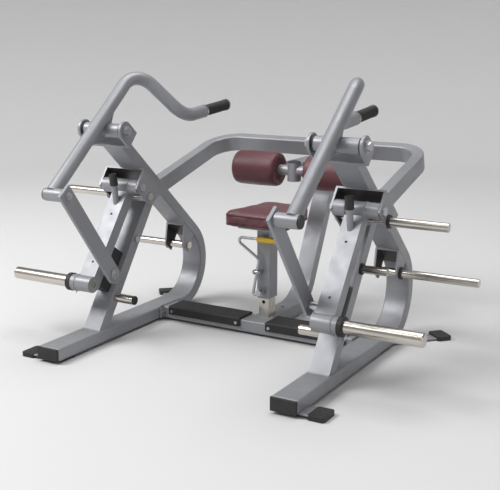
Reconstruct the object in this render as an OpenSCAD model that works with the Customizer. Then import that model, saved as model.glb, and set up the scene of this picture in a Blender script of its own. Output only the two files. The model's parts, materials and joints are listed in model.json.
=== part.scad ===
// Seated dip machine with two plate-loaded lever arms, mirrored left and right.
// X runs across the machine, Y from its front to its rear, Z up from the floor.
// Outlines are drawn in the side plane as [y, z], with y = 0 at the front caps.

/* [Tubes] */
// Width of the side frame tubes, across the machine
side_tube_w = 100; // [80:1:120]
// Thickness of every flat-sided tube, in the plane of its bends
tube_t = 50; // [40:1:60]
// Height of the rubber under the rails
foot_h = 10; // [6:1:20]
// Thickness of bracket plates
plate_t = 8; // [5:1:12]

/* [Side frames] */
// Distance from the middle of the machine to the middle of a side frame
side_x = 507.5; // [480:0.5:540]
// Distance from the front caps to the start of the rear bend
rail_len = 836; // [780:1:900]
// Bend radius of the side tube, on its centre line
side_bend_r = 180; // [150:1:220]
// Angle of the sloping side tube above level
slope = 41.5; // [38:0.5:45]
// Length of the sloping side tube after the bend
slope_len = 695; // [660:1:720]
// Distance of the handle pivot along the slope
pivot_along = 757; // [740:1:780]
// Width of the upright columns, across the machine
column_w = 80; // [60:1:90]
// Angle of the columns above level
column_angle = 55; // [50:1:60]
// Distance from the front caps to the foot of a column
column_y = 293; // [270:1:320]

/* [Handle arms] */
// Outer diameter of the handle tube
handle_d = 54; // [42:1:60]
// Diameter of the grip
grip_d = 48; // [34:1:52]
// Length of the grip
grip_l = 172; // [140:1:200]
// Diameter of the handle pivot boss
pivot_boss_d = 56; // [50:1:62]
// Length of the handle pivot boss
pivot_boss_l = 172; // [150:2:180]
// Diameter of the handle pivot axle
axle_d = 25; // [20:1:30]
// Diameter of the boss that carries the link
link_boss_d = 50; // [46:1:66]

/* [Links] */
// Width of a link bar
link_w = 66; // [60:1:80]
// Thickness of a link bar
link_t = 13; // [10:1:16]
// Diameter of the link pins
link_pin_d = 20; // [16:1:22]

/* [Weight arms] */
// Width of a weight arm, across the machine
arm_w = 75; // [60:1:80]
// Diameter of the hub that a weight arm swings on
hub_d = 60; // [54:1:66]
// Diameter of the boss that carries the weight horn
horn_boss_d = 65; // [60:1:72]
// Diameter of the weight horn
horn_d = 50; // [48:1:50]
// Length of the weight horn beyond its collar
horn_l = 286; // [200:1:300]
// Diameter of the collar behind the plates
collar_d = 72; // [70:1:100]
// Diameter of the plate storage horns
storage_d = 34; // [28:1:48]

/* [Rear frame] */
// Angle that the rear loop rises at, above level
loop_rise = 15.3; // [10:0.1:20]
// Height of the rear loop tube, across its bends
loop_h = 70; // [60:1:80]
// Distance from the middle to the inner face of the rear loop
loop_in_x = 487; // [470:1:500]
// Distance from the side tube to the rear edge of the loop, along its rise
loop_len = 599; // [560:1:620]
// Bend radius of the rear loop, on its centre line
loop_bend_r = 125; // [100:1:160]
// Width of the centre tube, across the machine
centre_w = 80; // [70:1:90]
// Angle of the centre post above level
post_angle = 63; // [60:0.5:66]
// Distance from the front caps to the foot of the centre post
post_y = 1100; // [1080:1:1120]
// Bend radius at the foot of the centre post
foot_bend_r = 180; // [150:1:200]
// Bend radius at the top of the centre post
head_bend_r = 120; // [100:1:130]

/* [Seat] */
// Width of the seat pad at its front
seat_w = 296; // [260:1:320]
// Width of the seat pad at its rear
seat_rear_w = 210; // [180:1:260]
// Depth of the seat pad
seat_l = 302; // [280:1:340]
// Thickness of the seat pad
seat_t = 65; // [50:1:80]
// Height of the top of the seat pad
seat_top = 513; // [500:1:520]
// Width of the sliding seat sleeve
sleeve_w = 57; // [57:1:70]
// Depth of the sliding seat sleeve
sleeve_l = 72; // [72:1:90]
// Distance between two holes in the seat post
hole_pitch = 50; // [40:1:60]

/* [Leg rollers] */
// Diameter of a leg roller
roller_d = 150; // [120:1:160]
// Length of a leg roller
roller_l = 215; // [200:1:250]
// Height of the roller axle
roller_z = 645; // [640:1:650]
// Distance from the front caps to the roller axle
roller_y = 1040; // [1030:1:1060]

/* [Hidden] */
$fn = 64;

paint = "silver";
rubber = "black";
bright = "gainsboro";
vinyl = "#6b2f38";

run_gap = 0.05;         // radial clearance of a turning fit
face_gap = 0.5;         // clearance between faces that turn on each other
lap = 0.3;              // straight legs run this far into their bends
proud = 0.05;           // bends are this much thicker than straight legs
rod_proud = 0.2;        // bends of round rods stand this far proud of their legs
rail_z = foot_h + tube_t / 2;
rail_top = foot_h + tube_t;
half_t = tube_t / 2;
side_in = side_x - side_tube_w / 2;
side_out = side_x + side_tube_w / 2;
cap_t = 10;
corner_steps = 8;

// Pivots of the linkage, as [y, z]
hub_at = [521, 608];
horn_at = [260, 250];
link_top_at = [65, 640];
link_foot_at = [319, 289];

// ---- Directions and points in the side plane ----

function along(a) = [cos(a), sin(a)];
function across(a) = [-sin(a), cos(a)];

// Where the line through p at angle a meets the line through q at angle b
function meet(p, a, q, b) =
    let (d = along(a), e = along(b), w = q - p)
    p + d * (w.x * e.y - w.y * e.x) / (d.x * e.y - d.y * e.x);

// The slope of the side tube: s runs forwards and up, n rearwards and up
slope_dir = 180 - slope;
bend_at = [rail_len, rail_z + side_bend_r];
slope_foot = bend_at + side_bend_r * along(90 - slope);
function on_slope(s, n) = slope_foot + s * along(slope_dir) + n * along(90 - slope);
slope_under = on_slope(0, -half_t);
pivot_at = on_slope(pivot_along, 0);

// The weight arm: u runs from hub to horn, v towards the rear
arm_dir = atan2(horn_at.y - hub_at.y, horn_at.x - hub_at.x) + 360;
arm_len = norm(horn_at - hub_at);
arm_set = 15;           // the arm tube lies this far behind the line hub to horn
function on_arm(u, v) = hub_at + u * along(arm_dir) + v * across(arm_dir);

// The column, leaning to the rear
column_foot = [column_y, rail_top];
column_front = column_foot + half_t * across(column_angle);
column_back = column_foot - half_t * across(column_angle);

// The rear loop: u runs rearwards along its rise, from the slope tube
loop_from = on_slope(357, half_t + 2);
function on_loop(u, v) = loop_from + u * along(loop_rise) + v * across(loop_rise);

// The centre tube: its post meets the level arm that carries the rollers
arm_top = on_loop(loop_len - tube_t, -loop_h).y;
level_z = arm_top - half_t;
post_foot = [post_y, rail_z];
post_head = meet(post_foot, post_angle, [0, level_z], 0);
foot_set = foot_bend_r * tan(post_angle / 2);
head_set = head_bend_r / tan(post_angle / 2);
head_bend_at = [post_head.x - head_set, level_z - head_bend_r];
overall_l = head_bend_at.x + head_bend_r + half_t;

// ---- Shapes shared by many parts ----

module place()
    translate([0, -overall_l / 2, 0])
        children();

module side(s) {
    if (s < 0)
        mirror([1, 0, 0])
            children();
    else
        children();
}

module both() {
    children();
    mirror([1, 0, 0])
        children();
}

// A side-plane outline made solid from x0 to x1
module slab(x0, x1)
    translate([x0, 0, 0])
        rotate([90, 0, 90])
            linear_extrude(x1 - x0)
                children();

// A round bar along X
module rod(at, x0, x1, d)
    translate([x0, at.x, at.y])
        rotate([0, 90, 0])
            cylinder(h = x1 - x0, d = d);

// A six-sided bolt head along X
module hex_head(at, x0, x1, w)
    translate([x0, at.x, at.y])
        rotate([0, 90, 0])
            cylinder(h = x1 - x0, d = w / cos(30), $fn = 6);

module strip(p, q, t)
    translate(p)
        rotate(atan2(q.y - p.y, q.x - p.x))
            translate([0, -t / 2])
                square([norm(q - p), t]);

module wedge(r, a0, a1) {
    steps = ceil((a1 - a0) / 60);
    turn = (a1 - a0) / steps;
    reach = r / cos(turn / 2);
    polygon(concat([[0, 0]], [for (i = [0:steps]) reach * along(a0 + turn * i)]));
}

module curve(at, r, t, a0, a1)
    translate(at)
        intersection() {
            difference() {
                circle(r = r + (t + proud) / 2, $fn = 128);
                circle(r = r - (t + proud) / 2, $fn = 128);
            }
            wedge(r + t, a0, a1);
        }

module rounded_rect(w, l, r) {
    translate([-w / 2 + r, -l / 2])
        square([w - 2 * r, l]);
    translate([-w / 2, -l / 2 + r])
        square([w, l - 2 * r]);
    for (x = [-1, 1], y = [-1, 1])
        translate([x * (w / 2 - r), y * (l / 2 - r)])
            circle(r);
}

// Points round the corner at p of an outline that runs a, p, b anticlockwise
function corner(a, p, b, r) =
    let (u = unit(a - p), v = unit(b - p), half = acos(u * v) / 2,
         middle = p + unit(u + v) * r / sin(half), first = p + u * r / tan(half) - middle)
    [for (i = [0:corner_steps])
        let (turn = (180 - 2 * half) * i / corner_steps)
        middle + first.x * along(turn) + first.y * across(turn)];

// A frame at point o, with its x axis along ex and its z axis along ez
module aim(o, ex, ez) {
    ey = cross(ez, ex);
    multmatrix([[ex.x, ey.x, ez.x, o.x], [ex.y, ey.y, ez.y, o.y],
                [ex.z, ey.z, ez.z, o.z], [0, 0, 0, 1]])
        children();
}

function unit(v) = v / norm(v);
function any_across(v) = unit(cross(v, abs(v.z) < 0.9 ? [0, 0, 1] : [1, 0, 0]));
function turn_at(p, i) = acos(unit(p[i] - p[i - 1]) * unit(p[i + 1] - p[i]));
function bend_set(p, r, i) = i == 0 || i == len(p) - 1 ? 0 : r[i] * tan(turn_at(p, i) / 2);

// A round bar bent through the points p, with bend radius r at each
module bent_rod(p, r, d) {
    for (i = [0:len(p) - 2]) {
        way = unit(p[i + 1] - p[i]);
        a = p[i] + way * (bend_set(p, r, i) - (i > 0 ? lap : 0));
        b = p[i + 1] - way * (bend_set(p, r, i + 1) - (i < len(p) - 2 ? lap : 0));
        aim(a, any_across(way), way)
            cylinder(h = norm(b - a), d = d);
    }
    for (i = [1:len(p) - 2]) {
        u = unit(p[i] - p[i - 1]);
        v = unit(p[i + 1] - p[i]);
        axis = unit(cross(u, v));
        inward = cross(axis, u);
        start = p[i] - u * bend_set(p, r, i);
        aim(start + inward * r[i], -inward, axis)
            rotate_extrude(angle = turn_at(p, i), $fn = 128)
                translate([r[i], 0])
                    circle(d = d + 2 * rod_proud);
    }
}

// ---- Side frames ----

module side_tube() {
    strip([cap_t, rail_z], [rail_len + lap, rail_z], tube_t);
    curve(bend_at, side_bend_r, tube_t, -90, 90 - slope);
    strip(on_slope(-lap, 0), on_slope(slope_len, 0), tube_t);
}

module side_frame(s)
    color(paint)
        place()
            side(s)
                slab(side_in, side_out)
                    side_tube();

module column_outline()
    polygon([meet(column_front, column_angle, column_foot, 0),
             meet(column_back, column_angle, column_foot, 0),
             meet(column_back, column_angle, slope_under, slope_dir),
             meet(column_front, column_angle, slope_under, slope_dir)]);

peg_at = [521, 390];
stub_at = [377, 173];
peg_bolt_d = 14;

module column(s)
    color(paint)
        place()
            side(s)
                difference() {
                    slab(side_x - column_w / 2, side_x + column_w / 2)
                        column_outline();
                    rod(peg_at, side_in, side_out, peg_bolt_d);
                    rod(stub_at, side_in, side_out, peg_bolt_d);
                }

// The fork at the top of the side tube that the handle arm turns in
ear_r = 38;
ear_t = 12;
ear_in = pivot_boss_l / 2 + plate_t;
clevis_base = slope_len + ear_t;

module ear_outline()
    difference() {
        union() {
            translate(pivot_at)
                circle(r = ear_r);
            strip(on_slope(clevis_base, 0), pivot_at, 2 * ear_r);
        }
        translate(pivot_at)
            circle(d = axle_d);
    }

module clevis(s)
    color(paint)
        place()
            side(s) {
                slab(side_x - ear_in - ear_t, side_x + ear_in + ear_t)
                    strip(on_slope(slope_len, 0), on_slope(clevis_base, 0), 2 * ear_r);
                for (x = [-ear_in - ear_t, ear_in])
                    slab(side_x + x, side_x + x + ear_t)
                        ear_outline();
            }

// The channel that carries the weight arm hub and the upper storage horn
bracket_in = 432;
bracket_out = 627;
upper_horn_at = on_slope(430, -94.4);
stay_d = 20;
horn_root_d = storage_d - 8;
ring_t = 8;

module upper_plate()
    difference() {
        polygon([on_slope(531, -half_t), on_slope(365, -half_t),
                 on_slope(395, -118), on_slope(523, -118)]);
        translate(hub_at)
            circle(d = axle_d);
        translate(upper_horn_at)
            circle(d = stay_d);
    }

module upper_bracket(s)
    color(paint)
        place()
            side(s) {
                slab(bracket_in, bracket_out)
                    polygon([on_slope(531, -half_t), on_slope(404, -half_t),
                             on_slope(404, -half_t - plate_t), on_slope(531, -half_t - plate_t)]);
                for (x = [bracket_in, bracket_out - plate_t])
                    slab(x, x + plate_t)
                        upper_plate();
            }

// The channel inside the rear bend that carries the lower storage horn
lower_horn_at = [890, 293];

module lower_plate()
    difference() {
        polygon([on_slope(95, -half_t), on_slope(0, -half_t),
                 on_slope(-12, -110), on_slope(42, -112)]);
        translate(lower_horn_at)
            circle(d = horn_root_d);
    }

module lower_bracket(s)
    color(paint)
        place()
            side(s) {
                slab(side_in, side_out)
                    polygon([on_slope(95, -half_t), on_slope(0, -half_t),
                             on_slope(0, -half_t - plate_t), on_slope(91, -half_t - plate_t)]);
                for (x = [side_in, side_out - plate_t])
                    slab(x, x + plate_t)
                        lower_plate();
            }

// ---- Rear frame ----

loop_lead = 60;         // the loop is drawn this far into the side tube, then cut off there

module loop_outline() {
    bend_x = loop_in_x + half_t - loop_bend_r;
    bend_u = loop_len - half_t - loop_bend_r;
    for (x = [-1, 1]) {
        strip([x * (loop_in_x + half_t), -loop_lead], [x * (loop_in_x + half_t), bend_u + lap], tube_t);
        curve([x * bend_x, bend_u], loop_bend_r, tube_t, x < 0 ? 90 : 0, x < 0 ? 180 : 90);
    }
    strip([-bend_x - lap, loop_len - half_t], [bend_x + lap, loop_len - half_t], tube_t);
}

module rear_loop()
    color(paint)
        place()
            difference() {
                translate([0, loop_from.x, loop_from.y])
                    rotate([loop_rise, 0, 0])
                        translate([0, 0, -loop_h])
                            linear_extrude(loop_h)
                                loop_outline();
                slab(-side_out, side_out)
                    strip(on_slope(0, half_t - 2 * loop_lead), on_slope(slope_len, half_t - 2 * loop_lead),
                          4 * loop_lead);
            }

beam_front = 683;
beam_l = 100;
end_plate_l = 144;
end_bolt_set = 11;

module cross_member()
    color(paint)
        place() {
            end = side_in - plate_t;
            translate([-end, beam_front, foot_h])
                cube([2 * end, beam_l, tube_t]);
            for (x = [-side_in, end])
                translate([x, beam_front + (beam_l - end_plate_l) / 2, foot_h])
                    cube([plate_t, end_plate_l, tube_t + 8]);
        }

module centre_outline() {
    strip([beam_front + beam_l, rail_z], [post_y - foot_set + lap, rail_z], tube_t);
    curve([post_y - foot_set, rail_z + foot_bend_r], foot_bend_r, tube_t, -90, post_angle - 90);
    strip(post_foot + (foot_set - lap) * along(post_angle),
          post_head - (head_set - lap) * along(post_angle), tube_t);
    curve(head_bend_at, head_bend_r, tube_t, post_angle - 90, 90);
    strip([roller_y, level_z], [head_bend_at.x + lap, level_z], tube_t);
}

// The wedge between the bend of the centre tube and the loop that rests on it
wedge_set = 2;

module loop_rest_outline()
    polygon([on_loop(loop_len - tube_t, -loop_h), on_loop(loop_len, -loop_h),
             [on_loop(loop_len, -loop_h).x, arm_top - tube_t],
             [on_loop(loop_len - tube_t, -loop_h).x, arm_top - half_t]]);

axle_tube_d = 46;
stem_d = 60;
stem_foot = roller_z - 45;
stem_l = 80;
roller_in = 67;
roller_out = roller_in + roller_l;

module centre_frame()
    color(paint)
        place()
            difference() {
                union() {
                    slab(-centre_w / 2, centre_w / 2)
                        centre_outline();
                    slab(wedge_set - centre_w / 2, centre_w / 2 - wedge_set)
                        loop_rest_outline();
                }
                translate([0, roller_y, stem_foot])
                    cylinder(h = 2 * stem_l, d = stem_d);
                rod([roller_y, roller_z], -centre_w, centre_w, axle_tube_d);
            }

module roller_stem()
    color(paint)
        place()
            difference() {
                translate([0, roller_y, stem_foot])
                    cylinder(h = stem_l, d = stem_d);
                rod([roller_y, roller_z], -stem_d, stem_d, axle_tube_d);
            }

// The dome that closes the stem
module stem_cap()
    color(rubber)
        place()
            translate([0, roller_y, stem_foot + stem_l])
                rotate_extrude()
                    intersection() {
                        translate([0, cap_t - stem_d])
                            circle(r = stem_d);
                        square([stem_d / 2, cap_t + 2]);
                    }

// The tube ends just past the rollers and a disc at each end keeps them on
module roller_axle()
    color(paint)
        place() {
            reach = roller_out + 6;
            disc_t = 4;
            rod([roller_y, roller_z], -reach, reach, axle_tube_d);
            for (x = [-reach - disc_t, reach])
                rod([roller_y, roller_z], x, x + disc_t, axle_tube_d + 20);
        }

module roller(s)
    color(vinyl)
        place()
            side(s)
                translate([roller_in, roller_y, roller_z])
                    rotate([0, 90, 0])
                        rotate_extrude($fn = 96)
                            difference() {
                                roller_profile();
                                translate([-1, -1])
                                    square([axle_tube_d / 2 + run_gap + 1, roller_l + 2]);
                            }

module roller_profile() {
    r = roller_d / 2;
    edge = 22;
    square([r - edge, roller_l]);
    translate([0, edge])
        square([r, roller_l - 2 * edge]);
    for (z = [edge, roller_l - edge])
        translate([r - edge, z])
            circle(edge);
}

// ---- Seat ----

wall_gap = 0.4;         // clearance round the seat post
wall_t = 4;
post_w = sleeve_w - 12;
post_l = sleeve_l - 12;
seat_y = 804;
sleeve_y = seat_y - sleeve_l / 2;
pad_front = 686;
front_corner_r = 28;
rear_corner_r = 45;
seat_plate_z = seat_top - seat_t - plate_t;
sleeve_foot = 139;
post_top = seat_plate_z - 54;
lock_z = 172;
lock_d = 13;
lever_y = 742;
lever_pivot = [lever_y, 256];
lever_pivot_x = -16;
lever_bolt_d = 8;
lug_t = 5;
lug_r = 9;
lug_in = lever_pivot_x - 13;
lug_out = lever_pivot_x + 13;

module seat_post()
    color(bright)
        place()
            difference() {
                translate([-post_w / 2, seat_y - post_l / 2, rail_top])
                    cube([post_w, post_l, post_top - rail_top]);
                translate([-post_w / 2, seat_y - post_l / 2, rail_top] + wall_t * [1, 1, 1])
                    cube([post_w - 2 * wall_t, post_l - 2 * wall_t, post_top]);
                for (i = [-1:3])
                    translate([0, seat_y, lock_z + i * hole_pitch])
                        rotate([90, 0, 0])
                            cylinder(h = post_l, d = lock_d + 2);
            }

// Two lugs on a base strip, on the front of the sleeve, that the lever turns between
module lever_lugs() {
    foot = lever_pivot.y - lug_r;
    for (x = [lug_in, lug_out - lug_t])
        translate([x, lever_y - lug_r, foot])
            cube([lug_t, sleeve_y - lever_y + lug_r, 2 * lug_r]);
    translate([lug_in, sleeve_y - lug_t, foot])
        cube([lug_out - lug_in, lug_t, 2 * lug_r]);
}

// The plate under the pad
seat_plate_w = 180;
seat_plate_l = 230;

module seat_carriage()
    color(paint)
        place()
            difference() {
                union() {
                    translate([-sleeve_w / 2, sleeve_y, sleeve_foot])
                        cube([sleeve_w, sleeve_l, seat_plate_z - sleeve_foot]);
                    translate([-seat_plate_w / 2, pad_front + 30, seat_plate_z])
                        cube([seat_plate_w, seat_plate_l, plate_t]);
                    translate([0, sleeve_y, lock_z])
                        rotate([90, 0, 0])
                            cylinder(h = 8, d = 2 * lock_d);
                    lever_lugs();
                }
                translate([-post_w / 2 - wall_gap, seat_y - post_l / 2 - wall_gap, 0])
                    cube([post_w + 2 * wall_gap, post_l + 2 * wall_gap, seat_plate_z]);
                translate([0, seat_y, lock_z])
                    rotate([90, 0, 0])
                        cylinder(h = sleeve_l, d = lock_d + 2 * run_gap);
                rod(lever_pivot, lug_in, lug_out, lever_bolt_d);
            }

module seat_pad_outline() {
    front = seat_w / 2;
    rear = seat_rear_w / 2;
    p = [[-front, 0], [front, 0], [rear, seat_l], [-rear, seat_l]];
    r = [front_corner_r, front_corner_r, rear_corner_r, rear_corner_r];
    polygon([for (i = [0:3]) each corner(p[(i + 3) % 4], p[i], p[(i + 1) % 4], r[i])]);
}

module seat_pad()
    color(vinyl)
        place()
            translate([0, pad_front, seat_top - seat_t])
                linear_extrude(seat_t)
                    seat_pad_outline();

module lever_bolt()
    color(bright)
        place() {
            head_t = 5;
            rod(lever_pivot, lug_in, lug_out, lever_bolt_d);
            hex_head(lever_pivot, lug_in - head_t, lug_in, 13);
            hex_head(lever_pivot, lug_out, lug_out + head_t, 13);
        }

lever_d = 11;
lever_eye_d = 16;
grip_z = 398;
lever_grip_d = 26;
lever_grip_from = -11;
lever_grip_to = 77;
lever_ring_t = 6;

// Bent rod: grip, outer corner, inner corner, then the tail behind the lock pin's head
lever_path = [[lever_grip_to, lever_y, grip_z], [-131, lever_y, grip_z - 2],
              [-5, lever_y, 313], [-36, lever_y, 148], [-12, lever_y, lock_z - 8]];
lever_bends = [0, 14, 20, 10, 0];

module seat_lever()
    color(bright)
        place()
            difference() {
                union() {
                    bent_rod(lever_path, lever_bends, lever_d);
                    rod(lever_pivot, lever_pivot_x - 7, lever_pivot_x + 7, lever_eye_d);
                    translate([0, lever_y + lever_ring_t / 2, lock_z])
                        rotate([90, 0, 0])
                            cylinder(h = lever_ring_t, d = 30);
                }
                rod(lever_pivot, lug_in, lug_out, lever_bolt_d + 2 * run_gap);
                translate([0, seat_y, lock_z])
                    rotate([90, 0, 0])
                        cylinder(h = 100, d = lock_d + 3);
            }

module lever_grip()
    color("gold")
        place()
            difference() {
                rod([lever_y, grip_z - 1], lever_grip_from, lever_grip_to + 4, lever_grip_d);
                bent_rod(lever_path, lever_bends, lever_d);
            }

module lock_pin()
    color(bright)
        place()
            translate([0, seat_y - post_l / 2 - 1, lock_z])
                rotate([90, 0, 0]) {
                    cylinder(h = 46, d = lock_d);
                    translate([0, 0, 38])
                        cylinder(h = 10, d = 24);
                }

// ---- Small parts of the frame ----

module rail_caps()
    color(rubber)
        place()
            both()
                translate([side_in, 0, foot_h])
                    cube([side_tube_w, cap_t, tube_t]);

// Feet beyond the side frames: a short plate at the front, a slanting bar at the rear
shoe_h = 18;
shoe_w = 88;
foot_plate_t = 6;
front_foot = [side_out + 62, 56];
rear_foot = [side_out + 122, 1045];
outrigger_from = [side_x - 7, rail_len + 7];
outrigger_dir = atan2(rear_foot.y - outrigger_from.y, rear_foot.x - outrigger_from.x);

module front_foot_plate()
    translate([side_out, front_foot.y - 40, foot_h])
        cube([front_foot.x - side_out + 15, 80, foot_plate_t]);

module outrigger()
    translate([0, 0, foot_h - foot_plate_t])
        linear_extrude(foot_plate_t)
            strip(outrigger_from, rear_foot + 15 * along(outrigger_dir), 60);

module foot_plates()
    color(paint)
        place()
            both() {
                front_foot_plate();
                outrigger();
            }

module rubber_foot(at, w, l, h)
    translate([at.x, at.y, 0])
        linear_extrude(h)
            rounded_rect(w, l, 10);

module rubber_feet()
    color(rubber)
        place()
            both() {
                for (y = [70, rail_len - 60])
                    rubber_foot([side_x, y], 80, 90, foot_h);
                difference() {
                    rubber_foot(front_foot, 62, shoe_w, shoe_h);
                    front_foot_plate();
                }
                difference() {
                    translate([rear_foot.x, rear_foot.y, 0])
                        rotate(outrigger_dir)
                            rubber_foot([0, 0], 62, shoe_w, shoe_h);
                    outrigger();
                }
            }

step_in = 60;
step_out = 420;

module step_pads()
    color(rubber)
        place()
            both()
                slab(step_in, step_out)
                    polygon([[beam_front - 8, 30], [beam_front, 30], [beam_front, rail_top],
                             [beam_front + beam_l + 4, rail_top], [beam_front + beam_l + 4, rail_top + 8],
                             [beam_front - 3, rail_top + 8], [beam_front - 8, rail_top + 3]]);

module screw_head(x, z)
    translate([x, beam_front - 8, z])
        rotate([90, 0, 0])
            cylinder(h = 4, d = 13);

module frame_bolts()
    color(bright)
        place() {
            both() {
                for (x = [step_in + 18, step_out - 18])
                    screw_head(x, 46);
                for (y = [beam_front - end_bolt_set, beam_front + beam_l + end_bolt_set])
                    hex_head([y, rail_z], side_in - plate_t - 8, side_in - plate_t, 14);
                hex_head(peg_at, side_x - column_w / 2 - 9, side_x - column_w / 2, 24);
                hex_head(stub_at, side_x + column_w / 2, side_x + column_w / 2 + 9, 24);
            }
            translate([0, 935, rail_top])
                cylinder(h = 9, d = 22, $fn = 6);
        }

// Each horn has a thinner root where it passes through plates and its ring
module storage_horns(s)
    color(bright)
        place()
            side(s) {
                rod(upper_horn_at, bracket_in, bracket_out, stay_d);
                rod(upper_horn_at, bracket_out, bracket_out + ring_t, horn_root_d);
                rod(upper_horn_at, bracket_out + ring_t, 852, storage_d);
                hex_head(upper_horn_at, bracket_in - 9, bracket_in, 30);
                rod(lower_horn_at, side_in, side_in + plate_t, horn_root_d);
                rod(lower_horn_at, side_in + plate_t, side_out - plate_t, storage_d);
                rod(lower_horn_at, side_out - plate_t, side_out + ring_t, horn_root_d);
                rod(lower_horn_at, side_out + ring_t, 877, storage_d);
                hex_head(lower_horn_at, side_in - 9, side_in, 30);
            }

peg_d = 30;
peg_root_d = 22;
peg_from = side_x + column_w / 2;
stub_d = 36;
stub_tip = 376;
stub_cap_t = 5;

module column_pegs()
    color(bright)
        place()
            both() {
                rod(peg_at, side_x - column_w / 2, peg_from, peg_bolt_d);
                rod(peg_at, peg_from, peg_from + ring_t, peg_root_d);
                rod(peg_at, peg_from + ring_t, 650, peg_d);
                rod(stub_at, side_x - column_w / 2, peg_from, peg_bolt_d);
                rod(stub_at, stub_tip, side_x - column_w / 2, stub_d);
            }

module root_ring(at, x, d, bore)
    difference() {
        rod(at, x, x + ring_t, d);
        rod(at, x - 1, x + ring_t + 1, bore);
    }

module peg_rings()
    color(rubber)
        place()
            both() {
                root_ring(peg_at, peg_from, peg_d + 12, peg_root_d);
                root_ring(upper_horn_at, bracket_out, storage_d + 16, horn_root_d);
                root_ring(lower_horn_at, side_out, storage_d + 16, horn_root_d);
                rod(stub_at, stub_tip - stub_cap_t, stub_tip, stub_d);
            }

// The block on the column that the weight arm rests against
buffer_low = 195;
buffer_high = 340;

module rest_buffers()
    color(rubber)
        place()
            both()
                slab(side_x - 20, side_x + 28) {
                    low = meet(column_front, column_angle, [0, buffer_low], 0);
                    high = meet(column_front, column_angle, [0, buffer_high], 0);
                    arm_back = on_arm(0, arm_set + half_t + 0.3);
                    polygon([low, high,
                             meet(high, column_angle + 90, arm_back, arm_dir),
                             meet(low, column_angle + 90, arm_back, arm_dir)]);
                }

module pivot_axles()
    color(bright)
        place()
            both() {
                reach = ear_in + ear_t;
                rod(pivot_at, side_x - reach, side_x + reach, axle_d);
                for (x = [side_x - reach - 5, side_x + reach])
                    rod(pivot_at, x, x + 5, 46);
                hex_head(pivot_at, side_x - reach - 16, side_x - reach - 5, 30);
                hex_head(pivot_at, side_x + reach + 5, side_x + reach + 16, 30);
            }

module hub_axles()
    color(bright)
        place()
            both() {
                rod(hub_at, bracket_in, bracket_out, axle_d);
                hex_head(hub_at, bracket_in - 9, bracket_in, 30);
                hex_head(hub_at, bracket_out, bracket_out + 9, 30);
            }

// ---- Handle arms ----

arm_x = 502;
handle_path = [[arm_x, 68, 648], [arm_x, 589, 1084], [353, 724, 885], [353, 1042, 913]];
handle_bends = [0, 90, 98, 0];
grip_way = unit(handle_path[3] - handle_path[2]);
grip_end = handle_path[3];
grip_core_d = 30;
grip_root = 20;         // the bar inside the grip runs this far into the tube
grip_from = grip_end - grip_way * grip_l;
tube_end = grip_from - grip_way * 8;
link_boss_in = 446;
link_boss_out = 529;

function last_cut(p, q) = [for (i = [0:len(p) - 1]) i == len(p) - 1 ? q : p[i]];

module gusset_outline()
    polygon([[285, 832], [446, 965], [446, 942], pivot_at + [25, 8],
             pivot_at + [22, -15], pivot_at - [8, 25], [289, 798]]);

module handle_arm(s)
    color(paint)
        place()
            side(s)
                difference() {
                    union() {
                        bent_rod(last_cut(handle_path, tube_end), handle_bends, handle_d);
                        aim(tube_end - grip_root * grip_way, any_across(grip_way), grip_way)
                            cylinder(h = grip_root + grip_l + 10, d = grip_core_d);
                        rod(link_top_at, link_boss_in, link_boss_out, link_boss_d);
                        rod(pivot_at, side_x - pivot_boss_l / 2, side_x + pivot_boss_l / 2, pivot_boss_d);
                        slab(arm_x - 6, arm_x + 6)
                            gusset_outline();
                    }
                    rod(pivot_at, side_x - pivot_boss_l, side_x + pivot_boss_l, axle_d + 2 * run_gap);
                    rod(link_top_at, link_boss_in - 1, link_boss_out - 5, link_pin_d);
                }

module handle_rings(s)
    color(rubber)
        place()
            side(s) {
                for (x = [-pivot_boss_l / 2 - plate_t + face_gap, pivot_boss_l / 2])
                    difference() {
                        rod(pivot_at, side_x + x, side_x + x + plate_t - face_gap, pivot_boss_d + 4);
                        rod(pivot_at, side_x + x - 1, side_x + x + plate_t, axle_d + 2 * run_gap);
                    }
                rod(link_top_at, link_boss_out, link_boss_out + 6, link_boss_d - 4);
            }

module grip(s)
    color(rubber)
        place()
            side(s)
                aim(grip_from, any_across(grip_way), grip_way)
                    difference() {
                        cylinder(h = grip_l, d = grip_d);
                        translate([0, 0, -1])
                            cylinder(h = grip_l + 2, d = grip_core_d);
                    }

module grip_collars(s)
    color(bright)
        place()
            side(s)
                aim(tube_end, any_across(grip_way), grip_way) {
                    difference() {
                        cylinder(h = 8, d = handle_d + 2);
                        translate([0, 0, -1])
                            cylinder(h = 10, d = grip_core_d);
                    }
                    difference() {
                        translate([0, 0, 8 + grip_l])
                            cylinder(h = 8, d = handle_d);
                        translate([0, 0, 7 + grip_l])
                            cylinder(h = 3, d = grip_core_d);
                    }
                }

// ---- Links ----

link_in = 428;
link_out = link_in + link_t;
link_dir = atan2(link_foot_at.y - link_top_at.y, link_foot_at.x - link_top_at.x);
link_slack = 5;
link_bolt_d = link_pin_d - 2 * run_gap;

module link_outline()
    difference() {
        union() {
            strip(link_top_at - 28 * along(link_dir), link_foot_at + 10 * along(link_dir), link_w);
            translate(link_foot_at + 10 * along(link_dir))
                circle(d = link_w);
        }
        translate(link_top_at)
            circle(d = link_bolt_d);
        translate(link_foot_at)
            circle(r = link_pin_d / 2 + link_slack);
    }

module link(s)
    color(paint)
        place()
            side(s)
                slab(link_in, link_out)
                    link_outline();

module link_bolt(s)
    color(bright)
        place()
            side(s) {
                rod(link_top_at, link_in, link_boss_out - 7, link_bolt_d);
                difference() {
                    rod(link_top_at, link_out, link_boss_in - face_gap, 44);
                    rod(link_top_at, link_out - 1, link_boss_in, link_bolt_d);
                }
                rod(link_top_at, link_in - 4, link_in, 30);
                hex_head(link_top_at, link_in - 12, link_in - 4, 24);
            }

// ---- Weight arms ----

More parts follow.
